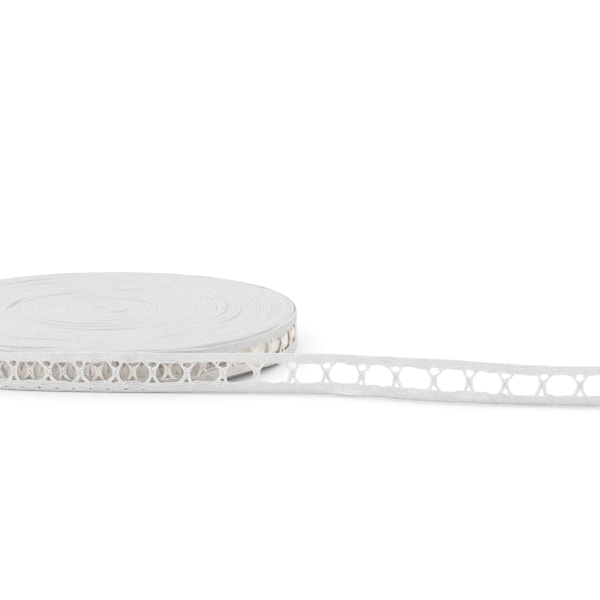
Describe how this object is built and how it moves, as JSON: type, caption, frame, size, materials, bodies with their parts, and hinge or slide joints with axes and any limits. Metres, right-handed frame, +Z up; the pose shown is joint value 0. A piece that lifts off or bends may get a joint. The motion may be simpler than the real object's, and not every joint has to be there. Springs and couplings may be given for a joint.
{
  "type": "roll of ladder lace trim",
  "caption": "Flat disc-shaped roll of narrow white cotton ladder lace, lying on its side with its loose end standing on edge and running out in front",
  "frame": {"origin": "on the roll's upright axis, at the flat underside that it rests on", "axes": "+Z up along the axis that the lace is wound about, +X the way in which the loose end runs, -Y the front, where the loose end leaves the roll"},
  "size_m": [0.1818, 0.1171, 0.0105],
  "materials": {
    "wound_lace": "matt cotton yarn",
    "loose_lace": "matt cotton yarn"
  },
  "bodies": {
    "root": {"roll": "wound_lace", "loose_end": "loose_lace"}
  },
  "joints": []
}
